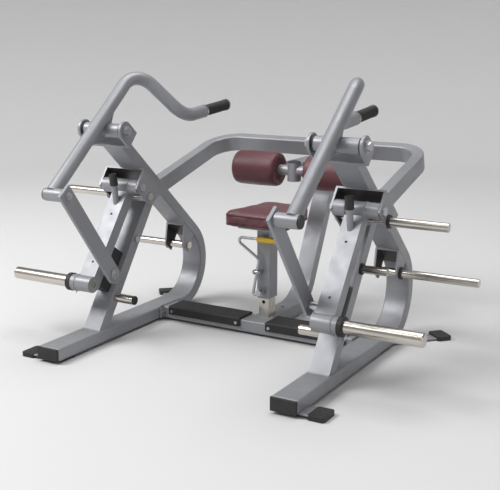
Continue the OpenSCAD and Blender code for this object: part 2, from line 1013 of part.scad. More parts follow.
arm_in = 487;
arm_out = arm_in + arm_w;
horn_boss_in = arm_in;
horn_boss_out = 586;
collar_t = 18;
horn_core_d = 32;
horn_root = 40;
horn_tip_t = 4;
stub_from = on_arm(87, 0);
stub_dir = 98.3;
stub_l = 82;
bumper_l = 48;
stop_x = 524;

module stop_rod(from, l, d) {
    at = stub_from + from * along(stub_dir);
    aim([stop_x, at.x, at.y], [1, 0, 0], [0, cos(stub_dir), sin(stub_dir)])
        cylinder(h = l, d = d);
}

module front_hole(u) {
    at = on_arm(u, arm_set - half_t + 8);
    aim([stop_x, at.x, at.y], [1, 0, 0], -[0, across(arm_dir).x, across(arm_dir).y])
        cylinder(h = 20, d = 10);
}

module weight_arm(s)
    color(paint)
        place()
            side(s)
                difference() {
                    union() {
                        slab(arm_in, arm_out)
                            strip(on_arm(10, arm_set), on_arm(arm_len + 8, arm_set), tube_t);
                        rod(hub_at, bracket_in + plate_t + 1, bracket_out - plate_t - 1, hub_d);
                        rod(horn_at, horn_boss_in, horn_boss_out, horn_boss_d);
                        stop_rod(0, stub_l, 25);
                    }
                    rod(hub_at, bracket_in, bracket_out, axle_d + 2 * run_gap);
                    rod(horn_at, horn_boss_in - 1, horn_boss_out + 1, horn_core_d);
                    for (u = [135, 350])
                        front_hole(u);
                }

module bumper(s)
    color(rubber)
        place()
            side(s)
                stop_rod(stub_l, bumper_l, 33);

module weight_horn(s)
    color(bright)
        place()
            side(s) {
                horn_from = horn_boss_out + collar_t;
                tip_from = horn_from + horn_l - horn_tip_t;
                rod(horn_at, horn_boss_in, horn_boss_out, horn_core_d);
                rod(horn_at, horn_boss_out, horn_from, horn_root);
                rod(horn_at, horn_from, tip_from, horn_d);
                translate([tip_from, horn_at.x, horn_at.y])
                    rotate([0, 90, 0])
                        cylinder(h = horn_tip_t, d1 = horn_d, d2 = horn_d - 2 * horn_tip_t);
            }

module horn_collar(s)
    color(rubber)
        place()
            side(s)
                difference() {
                    rod(horn_at, horn_boss_out, horn_boss_out + collar_t, collar_d);
                    rod(horn_at, horn_boss_out - 1, horn_boss_out + collar_t + 1, horn_root);
                }

module link_pin(s)
    color(bright)
        place()
            side(s) {
                rod(link_foot_at, link_out + face_gap, arm_in, 30);
                rod(link_foot_at, link_in - face_gap, link_out + face_gap, link_pin_d);
                rod(link_foot_at, link_in - face_gap - 5, link_in - face_gap, 44);
                hex_head(link_foot_at, link_in - face_gap - 14, link_in - face_gap - 5, 24);
            }

side_frame(-1);  // side_frame_left
side_frame(1);  // side_frame_right
column(-1);  // column_left
column(1);  // column_right
clevis(-1);  // clevis_left
clevis(1);  // clevis_right
upper_bracket(-1);  // upper_bracket_left
upper_bracket(1);  // upper_bracket_right
lower_bracket(-1);  // lower_bracket_left
lower_bracket(1);  // lower_bracket_right
rear_loop();
cross_member();
centre_frame();
roller_stem();
roller_axle();
stem_cap();
seat_post();
rail_caps();
foot_plates();
rubber_feet();
step_pads();
frame_bolts();
storage_horns(-1);  // storage_horns_left
storage_horns(1);  // storage_horns_right
column_pegs();
peg_rings();
rest_buffers();
pivot_axles();
hub_axles();
handle_arm(-1);  // handle_arm_left
handle_arm(1);  // handle_arm_right
handle_rings(-1);  // handle_rings_left
handle_rings(1);  // handle_rings_right
grip(-1);  // grip_left
grip(1);  // grip_right
grip_collars(-1);  // grip_collars_left
grip_collars(1);  // grip_collars_right
link(-1);  // link_left
link(1);  // link_right
link_bolt(-1);  // link_bolt_left
link_bolt(1);  // link_bolt_right
weight_arm(-1);  // weight_arm_left
weight_arm(1);  // weight_arm_right
bumper(-1);  // bumper_left
bumper(1);  // bumper_right
weight_horn(-1);  // weight_horn_left
weight_horn(1);  // weight_horn_right
horn_collar(-1);  // horn_collar_left
horn_collar(1);  // horn_collar_right
link_pin(-1);  // link_pin_left
link_pin(1);  // link_pin_right
seat_carriage();
seat_pad();
lever_bolt();
seat_lever();
lever_grip();
lock_pin();
roller(-1);  // roller_left
roller(1);  // roller_right
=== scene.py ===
import json
from math import ceil, cos, pi, radians, sin

import bmesh
import bpy
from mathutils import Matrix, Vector, noise


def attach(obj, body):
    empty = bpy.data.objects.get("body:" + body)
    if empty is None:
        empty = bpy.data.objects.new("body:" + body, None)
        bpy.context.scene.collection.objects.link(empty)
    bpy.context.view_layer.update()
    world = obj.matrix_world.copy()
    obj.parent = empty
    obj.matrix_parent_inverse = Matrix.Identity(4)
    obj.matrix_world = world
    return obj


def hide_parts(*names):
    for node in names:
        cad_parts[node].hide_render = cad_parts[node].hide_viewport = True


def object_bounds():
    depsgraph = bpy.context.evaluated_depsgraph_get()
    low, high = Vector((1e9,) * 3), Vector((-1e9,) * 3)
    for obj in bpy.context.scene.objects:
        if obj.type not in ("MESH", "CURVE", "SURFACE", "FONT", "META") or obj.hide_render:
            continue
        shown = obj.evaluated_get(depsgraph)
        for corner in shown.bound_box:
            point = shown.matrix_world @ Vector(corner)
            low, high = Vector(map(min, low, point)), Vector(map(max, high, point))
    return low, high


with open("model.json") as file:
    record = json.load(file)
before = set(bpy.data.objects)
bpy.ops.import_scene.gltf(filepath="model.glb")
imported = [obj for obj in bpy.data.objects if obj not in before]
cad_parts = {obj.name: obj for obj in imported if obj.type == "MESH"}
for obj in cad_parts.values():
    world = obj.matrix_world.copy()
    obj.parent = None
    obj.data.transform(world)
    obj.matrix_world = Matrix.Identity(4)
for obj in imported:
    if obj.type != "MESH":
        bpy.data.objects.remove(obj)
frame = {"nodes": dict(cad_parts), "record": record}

CAD_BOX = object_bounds()
BODIES = frame["record"]["behaviour"]["bodies"]
BODY_OF = {node: body for body, nodes in BODIES.items() for node in nodes}
SLOT_OF = {part["node"]: part["material_slot"] for part in frame["record"]["subparts"]}
SIDES = {"left": -1.0, "right": 1.0}
MM = 0.001
HALF_DEPTH = CAD_BOX[1][1]  # the front caps stand at -HALF_DEPTH, the rear bend at +HALF_DEPTH


# ---- Node materials ----

MIX_FACTOR, MIX_FIRST, MIX_SECOND, MIX_RESULT = 0, 6, 7, 2  # a colour mix's sockets
ON_EDGE = 0.88      # how well a rounded and a true normal agree on an edge
ON_FACE = 0.992     # and on a flat face


class Mat:
    """A material whose nodes are added by name and linked as they are made."""

    def __init__(self, name):
        self.material = bpy.data.materials.new(name)
        self.material.use_nodes = True
        self.tree = self.material.node_tree
        self.shader = self.tree.nodes["Principled BSDF"]
        coords = self.tree.nodes.new("ShaderNodeTexCoord")
        self.place = coords.outputs["Object"]

    def fill(self, socket, value):
        """Links a node's output to the socket, or sets the socket to a plain value."""
        if isinstance(value, bpy.types.NodeSocket):
            self.tree.links.new(value, socket)
        else:
            socket.default_value = value

    def node(self, kind, inputs=None, **settings):
        made = self.tree.nodes.new(kind)
        for key, value in settings.items():
            setattr(made, key, value)
        for key, value in (inputs or {}).items():
            self.fill(made.inputs[key], value)
        return made

    def stretch(self, scale):
        mapping = self.node("ShaderNodeMapping", {"Vector": self.place, "Scale": scale})
        return mapping.outputs["Vector"]

    def noise(self, scale, detail=2.0, vector=None):
        made = self.node("ShaderNodeTexNoise", {
            "Vector": vector or self.place, "Scale": scale, "Detail": detail})
        return made.outputs["Fac"]

    def cells(self, scale, feature):
        made = self.node("ShaderNodeTexVoronoi", {"Vector": self.place, "Scale": scale},
                         feature=feature)
        return made.outputs["Distance"]

    def span(self, value, low, high, start=0.3, end=0.7):
        """The value's range start to end spread over low to high."""
        made = self.node("ShaderNodeMapRange", {
            "Value": value, "From Min": start, "From Max": end,
            "To Min": low, "To Max": high})
        return made.outputs["Result"]

    def blend(self, factor, first, second):
        made = self.node("ShaderNodeMix", data_type="RGBA")
        self.fill(made.inputs[MIX_FACTOR], factor)
        self.fill(made.inputs[MIX_FIRST], first)
        self.fill(made.inputs[MIX_SECOND], second)
        return made.outputs[MIX_RESULT]

    def bump(self, height, strength, distance, under=None):
        inputs = {"Height": height, "Strength": strength, "Distance": distance}
        if under is not None:
            inputs["Normal"] = under
        return self.node("ShaderNodeBump", inputs).outputs["Normal"]

    def edges(self, radius):
        """1 on the edges of a part, 0 on its faces."""
        soft = self.node("ShaderNodeBevel", {"Radius": radius}, samples=4).outputs["Normal"]
        flat = self.node("ShaderNodeNewGeometry").outputs["Normal"]
        match = self.node("ShaderNodeVectorMath", {0: soft, 1: flat}, operation="DOT_PRODUCT")
        return self.span(match.outputs["Value"], 1.0, 0.0, ON_EDGE, ON_FACE)

    def set(self, **values):
        for key, value in values.items():
            self.fill(self.shader.inputs[key.replace("_", " ")], value)


def grey(value):
    return (value, value, value, 1.0)


def tinted(colour, factor):
    """The colour made darker or lighter by a factor."""
    return tuple(min(1.0, c * factor) for c in colour[:3]) + (1.0,)


def dusted(colour):
    """The colour under a film of dust."""
    return tuple(min(1.0, c + 0.05) for c in colour[:3]) + (1.0,)


# Noise scales: marks per metre
CLOUDS = 5.0
FLAKES = 2600.0
ORANGE_PEEL = 900.0
# patches where the painted edge highlight shows
EDGE_HIGHLIGHT_PATCHES = 38.0
HAZE = 7.0
DUST = 11.0
LEATHER_CELLS = 620.0
LEATHER_CLOUDS = 9.0
LEATHER_SAG = 26.0
GRIT = 420.0
# the painted edge highlight: how wide it is, and the lighter grey it paints
EDGE_HIGHLIGHT_WIDTH = 2.5 * MM
EDGE_HIGHLIGHT_GREY = (0.62, 0.62, 0.63, 1.0)


def painted(name, colour, metal, rough, edge_highlight):
    """Powder-coated steel: orange peel, faint clouding, and a painted highlight on its edges, in
    patches.
    """
    mat = Mat(name)
    clouds = mat.span(mat.noise(CLOUDS, detail=4.0), 0.0, 1.0)
    base = mat.blend(clouds, tinted(colour, 0.86), colour)
    flakes = mat.span(mat.noise(FLAKES, detail=1.0), 0.0, 0.55, start=0.55, end=0.75)
    base = mat.blend(flakes, base, tinted(colour, 1.35))
    # painted highlight: patches of the edges are blended towards a lighter grey, standing in for light
    # on rounded corners
    highlight_patches = mat.span(mat.noise(EDGE_HIGHLIGHT_PATCHES, detail=3.0), 0.0, edge_highlight, start=0.45, end=0.65)
    edge_highlight_mask = mat.node("ShaderNodeMath", {0: mat.edges(EDGE_HIGHLIGHT_WIDTH), 1: highlight_patches},
                      operation="MULTIPLY").outputs[0]
    base = mat.blend(edge_highlight_mask, base, EDGE_HIGHLIGHT_GREY)
    peel = mat.bump(mat.noise(ORANGE_PEEL), strength=0.10, distance=0.4 * MM)
    mat.set(Base_Color=base, Metallic=metal, Normal=peel,
            Roughness=mat.span(mat.noise(24.0, detail=3.0), rough - 0.05, rough + 0.07))
    return mat.material


def plated(name, colour, rough, along, scratch):
    """Bright plated steel with fine polishing lines along it."""
    mat = Mat(name)
    lines = mat.noise(1.0, detail=3.0, vector=mat.stretch(along))
    haze = mat.span(mat.noise(HAZE, detail=1.0), 0.0, 1.0, start=0.25, end=0.8)
    mat.set(Base_Color=mat.blend(haze, tinted(colour, 0.84), colour), Metallic=1.0,
            Roughness=mat.span(mat.noise(CLOUDS, detail=1.0), rough - 0.02, rough + 0.04),
            Normal=mat.bump(lines, scratch, distance=0.1 * MM))
    return mat.material


def moulded(name, colour, rough, grain, depth, dust=0.25):
    """Moulded rubber or plastic with a fine grain and a little dust."""
    mat = Mat(name)
    dusty = mat.span(mat.noise(DUST, detail=5.0), 0.0, dust, start=0.45, end=0.8)
    mat.set(Base_Color=mat.blend(dusty, colour, dusted(colour)),
            Roughness=mat.span(mat.noise(20.0, detail=3.0), rough - 0.06, rough + 0.08),
            Normal=mat.bump(mat.noise(grain), depth, distance=0.4 * MM))
    return mat.material


def vinyl(name, colour):
    """Upholstery vinyl: a leather grain of small cells, with painted shade in its creases."""
    mat = Mat(name)
    crease = mat.span(mat.cells(LEATHER_CELLS, "DISTANCE_TO_EDGE"), 0.0, 1.0, start=0.0, end=0.16)
    clouds = mat.span(mat.noise(LEATHER_CLOUDS, detail=4.0), 0.0, 1.0)
    base = mat.blend(clouds, colour, tinted(colour, 1.25))
    # painted shade: the grain's creases are darkened
    base = mat.blend(crease, tinted(colour, 0.62), base)
    grain = mat.bump(crease, strength=0.22, distance=0.6 * MM)
    sag = mat.bump(mat.noise(LEATHER_SAG, detail=3.0), strength=0.10, distance=4.0 * MM, under=grain)
    mat.set(Base_Color=base, Normal=sag, Sheen_Weight=0.12, Sheen_Roughness=0.4,
            Roughness=mat.span(mat.noise(15.0, detail=3.0), 0.36, 0.50))
    return mat.material


def tread(name):
    """Black step covering: coarse grit set in rubber."""
    mat = Mat(name)
    grit = mat.cells(GRIT, "F1")
    base = mat.blend(mat.span(grit, 0.0, 1.0, start=0.1, end=0.6), grey(0.028), grey(0.012))
    mat.set(Base_Color=base, Roughness=0.62,
            Normal=mat.bump(grit, strength=0.5, distance=1.0 * MM))
    return mat.material


LENGTHWISE = (6.0, 1400.0, 1400.0)   # polishing lines that run along X
ALL_WAYS = (300.0, 300.0, 300.0)
MATERIALS = {
    # edge_highlight: how strong the painted highlight on the edges is at most
    "grey_paint": painted("grey_paint", (0.300, 0.304, 0.325, 1.0), metal=0.30, rough=0.40, edge_highlight=0.5),
    "dark_paint": painted("dark_paint", (0.050, 0.044, 0.041, 1.0), metal=0.10, rough=0.36, edge_highlight=0.8),
    "rubber": moulded("rubber", grey(0.018), rough=0.55, grain=1400.0, depth=0.20),
    "grip_rubber": moulded("grip_rubber", grey(0.014), rough=0.62, grain=2200.0, depth=0.35),
    "chrome": plated("chrome", (0.66, 0.615, 0.56, 1.0), rough=0.24, along=LENGTHWISE, scratch=0.02),
    "steel": plated("steel", (0.56, 0.56, 0.58, 1.0), rough=0.32, along=ALL_WAYS, scratch=0.1),
    "vinyl": vinyl("vinyl", (0.118, 0.034, 0.042, 1.0)),
    "yellow_plastic": moulded("yellow_plastic", (0.70, 0.44, 0.02, 1.0), rough=0.35, grain=900.0,
                              depth=0.08, dust=0.1),
    "tread": tread("tread"),
    "thread": moulded("thread", (0.085, 0.030, 0.036, 1.0), rough=0.7, grain=3000.0, depth=0.4),
    "board": moulded("board", grey(0.02), rough=0.7, grain=500.0, depth=0.3),
}


# ---- Making pieces ----

SAME_POINT = 0.5 * MM       # corners of a CAD mesh that are closer than this become one
SAME_FACE = radians(0.8)    # faces that meet flatter than this become one
ROUNDED = radians(35.0)     # edges sharper than this are rounded
CREASED = radians(80.0)     # edges sharper than this keep a crease in their shading
ROUND_STEPS = 3


def add_piece(name, mesh, material, body, smooth=True):
    """A new object of that mesh, which rides on a CAD body."""
    piece = bpy.data.objects.new(name, mesh)
    bpy.context.scene.collection.objects.link(piece)
    mesh.materials.clear()
    mesh.materials.append(MATERIALS[material])
    if smooth:
        smooth_faces(mesh)
    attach(piece, body)
    return piece


def smooth_faces(mesh):
    for face in mesh.polygons:
        face.use_smooth = True


def add_shape(name, bm, material, body, smooth=True):
    """A piece of the shape that was drawn in bm."""
    bmesh.ops.recalc_face_normals(bm, faces=bm.faces)
    mesh = bpy.data.meshes.new(name)
    bm.to_mesh(mesh)
    bm.free()
    return add_piece(name, mesh, material, body, smooth)


def baked(piece):
    """Applies a piece's modifiers to its mesh."""
    bpy.context.view_layer.update()
    shown = piece.evaluated_get(bpy.context.evaluated_depsgraph_get())
    mesh = bpy.data.meshes.new_from_object(shown)
    old = piece.data
    piece.modifiers.clear()
    piece.data = mesh
    bpy.data.meshes.remove(old)


def softened(node, radius):
    """A CAD part with its sharp edges rounded, as rolled tube and cut plate have them."""
    mesh = frame["nodes"][node].data.copy()
    bm = bmesh.new()
    bm.from_mesh(mesh)
    bmesh.ops.remove_doubles(bm, verts=bm.verts, dist=SAME_POINT)
    bmesh.ops.dissolve_limit(bm, angle_limit=SAME_FACE, verts=bm.verts, edges=bm.edges)
    bm.to_mesh(mesh)
    bm.free()
    mesh.name = node + "_soft"
    mesh.set_sharp_from_angle(angle=CREASED)
    piece = add_piece(node + "_soft", mesh, SLOT_OF[node], BODY_OF[node])
    bevel = piece.modifiers.new("round", "BEVEL")
    bevel.width = radius
    bevel.segments = ROUND_STEPS
    bevel.limit_method = "ANGLE"
    bevel.angle_limit = ROUNDED
    bevel.use_clamp_overlap = True
    shading = piece.modifiers.new("shading", "WEIGHTED_NORMAL")
    shading.keep_sharp = True
    baked(piece)
    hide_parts(node)
    return piece


def darken_inside(piece):
    """Paints a channel's inner faces dark: those that look towards its middle."""
    mesh = piece.data
    mesh.materials.append(MATERIALS["dark_paint"])
    middle = sum((v.co for v in mesh.vertices), Vector()) / len(mesh.vertices)
    for face in mesh.polygons:
        if (middle - face.center).dot(face.normal) > 0.0:
            face.material_index = 1


def paint_cad():
    """Puts each CAD part's finish in its material slots."""
    for node, part in frame["nodes"].items():
        part.data.materials.clear()
        part.data.materials.append(MATERIALS[SLOT_OF[node]])


# ---- Shapes made from lines ----

ODD_WAY = Vector((0.31, 0.43, 0.85))  # no line of the machine runs this way
TURNED_SIDES = 48


def at(x, y, z):
    """A point given in mm, with y from the front caps, in the CAD frame."""
    return Vector((x * MM, y * MM - HALF_DEPTH, z * MM))


def spaced(points, step, closed):
    """The line through the points, cut into equal steps."""
    ends = list(points) + ([points[0]] if closed else [])
    spans = [(b - a).length for a, b in zip(ends, ends[1:])]
    count = max(3, ceil(sum(spans) / step))
    made = []
    i, gone = 0, 0.0
    for k in range(count if closed else count + 1):
        want = sum(spans) * k / count
        while i < len(spans) - 1 and gone + spans[i] < want:
            gone += spans[i]
            i += 1
        part = (want - gone) / spans[i] if spans[i] else 0.0
        made.append(ends[i].lerp(ends[i + 1], min(1.0, part)))
    return made


def add_ring(bm, centre, radius, up, across, sides):
    """Points on a circle round centre, in the plane of two unit directions."""
    return [bm.verts.new(centre + radius * (up * cos(2 * pi * k / sides)
                                            + across * sin(2 * pi * k / sides)))
            for k in range(sides)]


def join_rings(bm, rings, closed=False):
    """Faces from ring to ring. The line of rings is closed on itself, or has a cap on each end."""
    count = len(rings[0])
    pairs = list(zip(rings, rings[1:])) + ([(rings[-1], rings[0])] if closed else [])
    for low, high in pairs:
        for k in range(count):
            after = (k + 1) % count
            bm.faces.new((low[k], low[after], high[after], high[k]))
    if not closed:
        bm.faces.new(rings[0][::-1])
        bm.faces.new(rings[-1])


def add_cord(bm, points, radius, closed=False, sides=8, ripple=0.0, pitch=1.0):
    """A round cord along the points, with ripples of that pitch if asked."""
    count = len(points)
    up = ODD_WAY.normalized()
    rings = []
    gone = 0.0
    for i, point in enumerate(points):
        before = points[i - 1] if closed or i else point
        after = points[(i + 1) % count] if closed or i < count - 1 else point
        way = (after - before).normalized()
        up = (up - way * up.dot(way)).normalized()
        gone += (point - points[i - 1]).length if i else 0.0
        thickness = radius * (1.0 + ripple * (abs(sin(pi * gone / pitch)) - 0.5))
        rings.append(add_ring(bm, point, thickness, up, way.cross(up), sides))
    join_rings(bm, rings, closed)


def add_turned(bm, start, way, profile, sides=TURNED_SIDES):
    """A turned shape: profile gives (distance along way, radius) in mm from start."""
    way = way.normalized()
    up = way.orthogonal().normalized()
    across = way.cross(up)
    join_rings(bm, [add_ring(bm, start + way * (distance * MM), radius * MM, up, across, sides)
                    for distance, radius in profile])


# ---- Foam ----

SIM_FRAMES = 20
SIM_QUALITY = 5
SHELL_VOXEL = 5.0 * MM
FOAM_PRESSURE = 4.0
COVER_MASS = 0.3
COVER_STIFFNESS = 20.0
COVER_BENDING = 2.0
COVER_EASE = -0.02      # the cover is cut this share larger than its shell
SMOOTH_PASSES = 2


def inflated(piece, cap, held):
    """Fills a closed shell as foam fills a cover: a short cloth simulation, kept within cap.

    Points for which held is true stay where they are.
    """
    skin = piece.modifiers.new("skin", "REMESH")
    skin.mode = "VOXEL"
    skin.voxel_size = SHELL_VOXEL
    baked(piece)
    blow_up(piece, cap, held)
    smooth = piece.modifiers.new("smooth", "SMOOTH")
    smooth.iterations = SMOOTH_PASSES
    finer = piece.modifiers.new("finer", "SUBSURF")
    finer.levels = 1
    baked(piece)
    smooth_faces(piece.data)


def blow_up(piece, cap, held):
    rest = [v.co.copy() for v in piece.data.vertices]
    cloth = piece.modifiers.new("cover", "CLOTH")
    fabric = cloth.settings
    fabric.quality = SIM_QUALITY
    fabric.mass = COVER_MASS
    fabric.tension_stiffness = COVER_STIFFNESS
    fabric.compression_stiffness = COVER_STIFFNESS
    fabric.bending_stiffness = COVER_BENDING
    fabric.shrink_min = COVER_EASE
    fabric.use_pressure = True
    fabric.uniform_pressure_force = FOAM_PRESSURE
    fabric.effector_weights.gravity = 0.0
    group = piece.vertex_groups.new(name="held")
    group.add([i for i, co in enumerate(rest) if held(co)], 1.0, "REPLACE")
    fabric.vertex_group_mass = "held"
    cloth.point_cache.frame_start = 1
    cloth.point_cache.frame_end = SIM_FRAMES
    for step in range(1, SIM_FRAMES + 1):
        bpy.context.scene.frame_set(step)
    baked(piece)
    bpy.context.scene.frame_set(1)
    for vertex, was in zip(piece.data.vertices, rest):
        move = vertex.co - was
        if move.length > cap:
            vertex.co = was + move * (cap / move.length)


# ---- Frame parts with rounded edges ----

# Edge radius in mm, and the parts of each side that have it
SIDE_EDGES = {
    6.0: ["side_frame", "column", "weight_arm"],
    2.0: ["clevis", "upper_bracket", "lower_bracket", "link"],
}
# Edge radius in mm, and the parts that are there once
MIDDLE_EDGES = {
    6.0: ["rear_loop", "centre_frame", "cross_member", "rest_buffers"],
    3.0: ["rubber_feet", "rail_caps", "seat_carriage", "step_pads"],
    1.5: ["foot_plates", "seat_post"],
}


def soften_frame():
    for radius, parts in SIDE_EDGES.items():
        for part in parts:
            for side in SIDES:
                piece = softened(f"{part}_{side}", radius * MM)
                if part.endswith("bracket"):
                    darken_inside(piece)
    for radius, nodes in MIDDLE_EDGES.items():
        for node in nodes:
            piece = softened(node, radius * MM)
            if node == "step_pads":
                piece.data.materials[0] = MATERIALS["tread"]


# ---- Weld beads ----

# The frame's sizes in mm: x from the middle, y from the front caps, z from the floor
SIDE_X = 507.5          # middle of a side frame
SIDE_HALF_W = 50.0
COLUMN_HALF_W = 40.0
CENTRE_HALF_W = 40.0
TUBE_HALF_T = 25.0
RAIL_TOP = 60.0
RAIL_L = 836.0          # the side tube's rear bend starts here
BEND_R = 180.0
SLOPE = radians(41.5)
SLOPE_UP = Vector((sin(SLOPE), cos(SLOPE)))        # square to the slope, rearwards and up
SLOPE_ON = Vector((-cos(SLOPE), sin(SLOPE)))       # along the slope, forwards and up
SLOPE_FOOT = Vector((RAIL_L, RAIL_TOP - TUBE_HALF_T + BEND_R)) + BEND_R * SLOPE_UP
SLOPE_LEN = 695.0
COLUMN_ANGLE = radians(55.0)
COLUMN_Y = 293.0
LOOP_RISE = radians(15.3)
LOOP_IN_X = 487.0
LOOP_T = 50.0
LOOP_H = 70.0
LOOP_ALONG = 357.0      # the rear loop meets the slope this far up it
LOOP_SET = 2.0          # and stands this far off its face
BEAM_FRONT = 683.0      # the cross member's faces
BEAM_REAR = 783.0
BEAM_END_X = 449.5
HORN_AT = (260.0, 250.0)
HUB_AT = (521.0, 608.0)
PIVOT_ALONG = 757.0
PIVOT_AT = SLOPE_FOOT + PIVOT_ALONG * SLOPE_ON
HUB_R = 30.0
HORN_BOSS_R = 32.5
PIVOT_BOSS_R = 28.0
ARM_FACES = (487.0, 562.0)
GUSSET_FACES = (496.0, 508.0)
HORN_BOSS_OUT = 586.0

# The beads' own sizes in mm
BEAD_R = 2.6
PIVOT_BEAD_R = 3.4
BEAD_STEP = 1.3
BEAD_SIDES = 6
BEAD_RIPPLE = 0.5
BEAD_PITCH = 4.0
BEAD_FOOT = 14.0        # upright beads on the cross member start at this height
RING_POINTS = 48


def on_slope(s, n):
    return SLOPE_FOOT + s * SLOPE_ON + n * SLOPE_UP


def to_slope(start, angle, n):
    """Where the line from start at that angle comes within n of the slope's middle line."""
    way = Vector((cos(angle), sin(angle)))
    return start + way * ((n - (start - SLOPE_FOOT).dot(SLOPE_UP)) / way.dot(SLOPE_UP))


def ring_points(x, centre, radius):
    turns = [2 * pi * k / RING_POINTS for k in range(RING_POINTS)]
    return [at(x, centre[0] + radius * cos(a), centre[1] + radius * sin(a)) for a in turns]


def frame_around(x0, x1, low, high):
    """Four corners of a joint that spans x0 to x1, between two side-plane points."""
    return [at(x0, *low), at(x1, *low), at(x1, *high), at(x0, *high)]


def add_weld(bm, points, radius=BEAD_R, closed=True):
    add_cord(bm, spaced(points, BEAD_STEP * MM, closed), radius * MM, closed,
             BEAD_SIDES, BEAD_RIPPLE, BEAD_PITCH * MM)


def add_column_welds(bm, s):
    """Round the column's foot on the rail and its head under the slope."""
    half = TUBE_HALF_T / sin(COLUMN_ANGLE)
    feet = [Vector((COLUMN_Y + off, RAIL_TOP)) for off in (-half, half)]
    heads = [to_slope(foot, COLUMN_ANGLE, -TUBE_HALF_T) for foot in feet]
    low, high = s * (SIDE_X - COLUMN_HALF_W), s * (SIDE_X + COLUMN_HALF_W)
    add_weld(bm, frame_around(low, high, *feet))
    add_weld(bm, frame_around(low, high, *heads))


def add_loop_weld(bm, s):
    down = Vector((sin(LOOP_RISE), -cos(LOOP_RISE)))
    top = on_slope(LOOP_ALONG, TUBE_HALF_T + LOOP_SET)
    ends = [to_slope(top + down * drop, LOOP_RISE, TUBE_HALF_T) for drop in (0.0, LOOP_H)]
    add_weld(bm, frame_around(s * LOOP_IN_X, s * (LOOP_IN_X + LOOP_T), *ends))


def add_clevis_weld(bm, s):
    ends = [on_slope(SLOPE_LEN, n) for n in (-TUBE_HALF_T, TUBE_HALF_T)]
    add_weld(bm, frame_around(s * (SIDE_X - SIDE_HALF_W), s * (SIDE_X + SIDE_HALF_W), *ends))


def add_beam_weld(bm, s):
    """Up, over and down the cross member where it meets a side frame."""
    end = s * BEAM_END_X
    add_weld(bm, [at(end, BEAM_FRONT, BEAD_FOOT), at(end, BEAM_FRONT, RAIL_TOP),
                  at(end, BEAM_REAR, RAIL_TOP), at(end, BEAM_REAR, BEAD_FOOT)], closed=False)


def add_side_welds(side, s):
    bm = bmesh.new()
    for add in (add_column_welds, add_loop_weld, add_clevis_weld, add_beam_weld):
        add(bm, s)
    add_shape(f"frame_weld_{side}", bm, "grey_paint", "frame")
    bm = bmesh.new()
    for x in ARM_FACES:
        add_weld(bm, ring_points(s * x, HUB_AT, HUB_R))
    add_weld(bm, ring_points(s * ARM_FACES[1], HORN_AT, HORN_BOSS_R))
    add_shape(f"arm_weld_{side}", bm, "grey_paint", f"{side}_weight_arm")
    bm = bmesh.new()
    for x in GUSSET_FACES:
        add_weld(bm, ring_points(s * x, PIVOT_AT, PIVOT_BOSS_R), PIVOT_BEAD_R)
    add_shape(f"handle_weld_{side}", bm, "grey_paint", f"{side}_handle")


def add_welds():
    for side, s in SIDES.items():
        add_side_welds(side, s)
    bm = bmesh.new()
    across = CENTRE_HALF_W
    add_weld(bm, [at(-across, BEAM_REAR, BEAD_FOOT), at(-across, BEAM_REAR, RAIL_TOP),
                  at(across, BEAM_REAR, RAIL_TOP), at(across, BEAM_REAR, BEAD_FOOT)], closed=False)
    add_shape("centre_weld", bm, "grey_paint", "frame")


# ---- Grease nipples ----

# (height, radius) in mm, from the foot to the tip
NIPPLE = [(0.0, 4.0), (3.0, 4.0), (3.5, 2.4), (7.0, 2.0), (8.0, 3.0), (10.0, 2.6), (11.0, 1.2)]
NIPPLE_SUNK = 0.5
NIPPLE_WAY = Vector((0.0, -0.25, -1.0))
NIPPLE_SIDES = 16


def add_nipples():
    """A grease nipple under each horn boss."""
    x = (ARM_FACES[1] + HORN_BOSS_OUT) / 2
    for side, s in SIDES.items():
        bm = bmesh.new()
        foot = at(s * x, HORN_AT[0], HORN_AT[1] - HORN_BOSS_R + NIPPLE_SUNK)
        add_turned(bm, foot, NIPPLE_WAY, NIPPLE, NIPPLE_SIDES)
        add_shape(f"grease_nipple_{side}", bm, "steel", f"{side}_weight_arm")


# ---- Grips ----

GRIP_BASE = (353.0, 724.0, 885.0)   # the bend before the grip, as x, y, z in mm
GRIP_END = (353.0, 1042.0, 913.0)
GRIP_L = 172.0
GRIP_R = 24.0
GROOVE_R = GRIP_R - 1.6
RIB_R = GRIP_R - 0.5
RIB_FROM = 9.0
RIB_PITCH = 5.0
RIB_COUNT = 30
RIB = [(0.0, GROOVE_R), (0.8, RIB_R), (3.2, RIB_R), (4.0, GROOVE_R)]
FLANGE = [(0.0, GRIP_R - 2.0), (1.0, GRIP_R), (7.0, GRIP_R), (8.0, GROOVE_R)]


def grip_profile():
    """(distance, radius) in mm: a flange, the ribs and a flange again."""
    ribs = [(RIB_FROM + k * RIB_PITCH + d, r) for k in range(RIB_COUNT) for d, r in RIB]
    return FLANGE + ribs + [(GRIP_L - d, r) for d, r in reversed(FLANGE)]


def add_grips():
    """Ribbed rubber grips with a smooth flange at each end."""
    for side, s in SIDES.items():
        end = at(s * GRIP_END[0], *GRIP_END[1:])
        way = (end - at(s * GRIP_BASE[0], *GRIP_BASE[1:])).normalized()
        bm = bmesh.new()
        add_turned(bm, end - way * GRIP_L * MM, way, grip_profile())
        piece = add_shape(f"ribbed_grip_{side}", bm, "grip_rubber", f"{side}_handle")
        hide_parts(f"grip_{side}")


# ---- Seat pad ----

SEAT_FRONT = 686.0
SEAT_L = 302.0
SEAT_W = 296.0
SEAT_REAR_W = 210.0
SEAT_FRONT_R = 28.0
SEAT_REAR_R = 45.0
SEAT_TOP = 513.0
SEAT_BOTTOM = 448.0
CORNER_STEPS = 8
